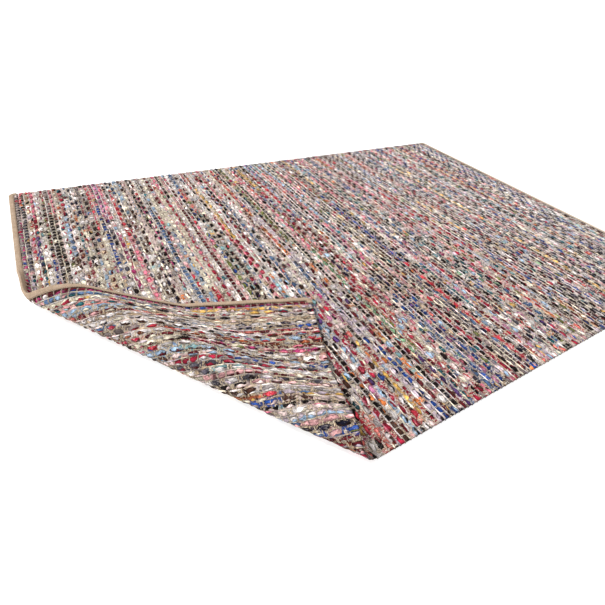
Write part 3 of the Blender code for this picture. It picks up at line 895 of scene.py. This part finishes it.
# The jute picks' finish reads an under layer that they lack, so they come out mostly in its painted
# shade, a very dark brown. The colours painted here go unread.
jute_colours = np.broadcast_to((*dyed(120, 96, 76), 0.8), (THIN_ROWS, WARP_GROUPS, 4))
jute_picks = weft_piece("jute_picks", thin_rows, ~is_thin_rag, jute_colours, jute_colours, JUTE_MAKE)

# -------- the thin ties
# Fine jute yarns pass over the rag wefts by themselves: between the lumps of the even rows, and
# across the middle of the lumps that they split in two. They are part of the warp.

TIE_REACH = 0.0078  # along the warp to each side of the row
TIE_RADIUS = 0.0008
TIE_GAP = 0.0022  # between the two yarns of a pair
TIE_ENDS = 0.0008  # their height where they go under the picks
EVEN_CREST, PAIR_CREST = 0.0030, 0.0037  # their height over the rows
TIE_STRAY = 0.0008


def tie_tree():
    """Sets one arched yarn on each point."""
    tree, given = new_tree("ties", dict.fromkeys(("Reach", "Radius", "End height"), "Float"))
    number = partial(stored, tree)
    tubes, sx, sy, sz = tubes_on_points(tree, given["Places"], (-1, 0, 0), (1, 0, 0), 4, 3, False)
    x = sx * given["Reach"] + number("tie_x")
    y = sy * given["Radius"] + number("tie_y")
    rise = (1.0 - sx * sx) * (number("crest") - given["End height"])
    z = sz * given["Radius"] + (rise + given["End height"]) * number("face")
    shape_and_finish(tree, tubes, x, y, z, given["Finish"])
    return tree


def tie_places():
    """Each tie's place, the height of its arch, and the face that it is on."""
    edges = (np.arange(1, WARP_GROUPS) - WARP_GROUPS / 2) * GROUP
    middles = (np.arange(WARP_GROUPS) + 0.5 - WARP_GROUPS / 2) * GROUP
    places = []
    for row, x in enumerate(rag_row_x):
        if is_even[row]:
            for y in edges:
                for beside in (-TIE_GAP / 2, TIE_GAP / 2):
                    places += [(x, y + beside, EVEN_CREST, face) for face in (1, -1)]
        elif is_pair[row]:
            for group, y in enumerate(middles):
                face = 1 if (group + rag_row_shed[row]) % 2 == 0 else -1
                places.append((x, y, PAIR_CREST, face))
    return np.array(places)


ties = tie_places()
ties[:, 0] += shape_dice.normal(0, TIE_STRAY, len(ties))
ties[:, 1] += shape_dice.normal(0, TIE_STRAY, len(ties))
tie_numbers = dict(zip(("tie_x", "tie_y", "crest", "face"), ties.T))
tie_jute = jute_finish("jute_tie", 0.004, True)
tie_inputs = {"Reach": TIE_REACH, "Radius": TIE_RADIUS, "End height": TIE_ENDS, "Finish": tie_jute}
tie_mesh = grown("thin_ties", tie_numbers, tie_tree(), tie_inputs)
flat_ties = coordinates(tie_mesh)
paint(tie_mesh, "under", np.ones((len(flat_ties), 4)))
fold_mesh(tie_mesh, flat_ties)
drop_numbers(tie_mesh, tie_numbers)
thin_ties = add_piece("thin_ties", tie_mesh, tie_jute)

woven_in = [*rag_wefts, thin_rags, jute_picks, thin_ties]
for piece in (jute_warps, *woven_in):
    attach(piece, "root")
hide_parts("rug_cloth")

# -------- the binding tapes
# The cut ends of the warps are bound in a folded cotton tape, 17 mm wide on each face. It goes
# round both corners and ends a little way along the selvedges.

TAPE_THICKNESS = 0.001
TAPE_TAIL = 0.006
TAPE_STEP = 0.006
CORNER_STEPS = 6
SLACK = 0.0002  # of its inner edge
SEAM_INSET = 0.0022  # from the tape's inner edge
SEAM_WIDTH = 0.0012
STITCH = 0.0055
INSIDE = HALF - TAPE_THICKNESS
# The tape's section: inset from the rug's edge, and height
TAPE_SECTION = (
    (TAPE_WIDTH, HALF - 0.0003),
    (TAPE_WIDTH - 0.0012, HALF + 0.0001),
    (0.0070, HALF + 0.0002),
    (0.0018, HALF),
    (0.0004, 0.0028),
    (0.0000, 0.0000),
    (0.0004, -0.0028),
    (0.0018, -HALF),
    (0.0070, -HALF),
    (TAPE_WIDTH - 0.0012, -HALF),
    (TAPE_WIDTH, 0.0004 - HALF),
    (TAPE_WIDTH, -INSIDE),
    (0.0014, -INSIDE),
    (0.0014, INSIDE),
    (TAPE_WIDTH, INSIDE),
)


def tape_path(side):
    """Places on the rug's edge with the way inwards, from the tape's front tail to its back one."""
    centre_x = side * (LENGTH / 2 - CORNER_RADIUS)
    centre_y = WIDTH / 2 - CORNER_RADIUS
    turns = np.linspace(0, math.pi / 2, CORNER_STEPS + 1)
    outwards = np.column_stack((side * np.sin(turns), -np.cos(turns)))
    corner = (centre_x, -centre_y) + CORNER_RADIUS * outwards
    front = np.concatenate((((centre_x - side * TAPE_TAIL, -WIDTH / 2),), corner))
    front_ways = np.concatenate((((0, 1),), -outwards))
    run_y = np.linspace(-centre_y, centre_y, int(2 * centre_y / TAPE_STEP) + 1)[1:-1]
    run = np.column_stack((np.full(len(run_y), side * LENGTH / 2), run_y))
    to_back = (1, -1)
    places = np.concatenate((front, run, front[::-1] * to_back))
    run_ways = np.tile((-side, 0), (len(run), 1))
    return places, np.concatenate((front_ways, run_ways, front_ways[::-1] * to_back))


def tape_mesh(name, side, dice):
    places, inwards = tape_path(side)
    count, ring = len(places), len(TAPE_SECTION)
    slack = np.convolve(dice.normal(0, 1, count + 8), np.ones(9) / 3, "valid") * SLACK
    flat = np.empty((count, ring, 3))
    for spot, (inset, height) in enumerate(TAPE_SECTION):
        uneven = slack * (inset / TAPE_WIDTH)
        flat[:, spot, :2] = places + inwards * (inset + uneven)[:, None]
        flat[:, spot, 2] = height
    index = np.arange(count * ring).reshape(count, ring)
    beside = np.roll(index, -1, axis=1)
    faces = np.stack((index[:-1], beside[:-1], beside[1:], index[1:]), axis=-1).reshape(-1, 4).tolist()
    faces += [index[0, ::-1].tolist(), index[-1].tolist()]
    if side < 0:
        faces = [face[::-1] for face in faces]
    mesh = bpy.data.meshes.new(name)
    mesh.from_pydata(flat.reshape(-1, 3).tolist(), [], faces)
    return mesh


def tape_finish(name):
    """Tan cotton tape: a plain weave, rubbed and a little soiled, sewn down near its inner edge."""
    made, tree, shader = new_material(name, 0.9)
    parts = flat_parts(tree)
    tan = mixed(tree, noise(tree, (55, 55), 4.0), dyed(142, 118, 96), dyed(206, 183, 160))
    # The right end's tape is less soiled
    at_right = parts["X"].maths("GREATER_THAN", LENGTH / 2)
    tan = mixed(tree, at_right * 0.6, tan, dyed(226, 212, 194))
    weave = noise(tree, (420, 420), 2.0)
    colour = mixed(tree, 1.0, tan, weave * 1.6 + 0.16, "MULTIPLY")
    from_end = LENGTH / 2 - (parts["X"] - LENGTH / 2).maths("ABSOLUTE")
    off_seam = (from_end - (TAPE_WIDTH - SEAM_INSET)).maths("ABSOLUTE")
    stitched = ((parts["Y"] * (2 * math.pi / STITCH)).maths("SINE") * 1.5 + 0.8).clamped()
    seam = (1.3 - off_seam / SEAM_WIDTH).clamped() * stitched * 0.75
    colour = mixed(tree, seam, colour, dyed(92, 62, 52))
    cover(tree, shader, colour, weave - seam * 1.5, 0.0006, 0.8)
    return made


tape_cloth = tape_finish("tan_cotton_tape")
tape_dice = np.random.default_rng(3)
for side, name in ((-1, "left"), (1, "right")):
    mesh = tape_mesh(f"tape_{name}", side, tape_dice)
    fold_mesh(mesh, coordinates(mesh), wander=False)
    tape = add_piece(f"tape_{name}", mesh, tape_cloth)
    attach(tape, "root")
    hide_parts(f"binding_{name}")

# -------- floor, light and camera
# A plain white light table for a floor, a bright even sky, and one soft sun from behind.

FLOOR_SIZE = 60.0
FLOOR_RIM = 3.0  # the table curves up at its far edges, out of sight
FLOOR_GLOW = 0.74  # lit from below, so that what stands on it casts hardly any shadow
floor_mesh = bpy.data.meshes.new("floor")
reach = FLOOR_SIZE / 2
ways = ((-1, -1), (1, -1), (1, 1), (-1, 1))
corners = [(x * reach, y * reach, 0) for x, y in ways]
corners += [(x * (reach + FLOOR_RIM), y * (reach + FLOOR_RIM), FLOOR_RIM) for x, y in ways]
rim_faces = [(i, (i + 1) % 4, (i + 1) % 4 + 4, i + 4) for i in range(4)]
floor_mesh.from_pydata(corners, [], [(0, 1, 2, 3)] + [face[::-1] for face in rim_faces])
floor_paint, _, floor_shader = new_material("studio_floor", 0.9)
floor_shader.inputs["Base Color"].default_value = (0.5, 0.5, 0.5, 1)
floor_shader.inputs["Emission Color"].default_value = (1, 1, 1, 1)
floor_shader.inputs["Emission Strength"].default_value = FLOOR_GLOW
add_piece("floor", floor_mesh, floor_paint)

SKY_STRENGTH = 0.67
sky = bpy.data.worlds.new("soft_sky")
sky.use_nodes = True
sky_light = sky.node_tree.nodes["Background"]
sky_light.inputs["Color"].default_value = (1, 1, 1, 1)
sky_light.inputs["Strength"].default_value = SKY_STRENGTH
bpy.context.scene.world = sky

SUN_FROM = (-0.9, 0.9, 1.4)
SUN_SOFTNESS = math.radians(12)
SUN_STRENGTH = 2.9
sun_light = bpy.data.lights.new("soft_sun", "SUN")
sun_light.angle = SUN_SOFTNESS
sun_light.energy = SUN_STRENGTH
sun = bpy.data.objects.new("soft_sun", sun_light)
sun.location = SUN_FROM
sun.rotation_euler = (-Vector(SUN_FROM)).to_track_quat("-Z", "Y").to_euler()
bpy.context.scene.collection.objects.link(sun)

CAMERA_PLACE = (-0.96059, -1.05816, 0.81555)
CAMERA_HEADING = math.radians(35.192)  # from +Y towards +X
CAMERA_DOWN = math.radians(40.026)
CAMERA_ROLL = math.radians(7.034)
FOCAL_PIXELS = 398.51
FRAME_PIXELS = 605
SENSOR = 36.0
camera_data = bpy.data.cameras.new("photo_view")
camera_data.sensor_width = SENSOR
camera_data.lens = SENSOR * FOCAL_PIXELS / FRAME_PIXELS
camera_data.clip_end = 200
camera = bpy.data.objects.new("photo_view", camera_data)
bpy.context.scene.collection.objects.link(camera)
turn = Matrix.Rotation(-CAMERA_HEADING, 4, "Z")
turn = turn @ Matrix.Rotation(math.pi / 2 - CAMERA_DOWN, 4, "X") @ Matrix.Rotation(CAMERA_ROLL, 4, "Z")
camera.matrix_world = Matrix.Translation(CAMERA_PLACE) @ turn
bpy.context.scene.camera = camera
bpy.context.scene.view_settings.view_transform = "Standard"
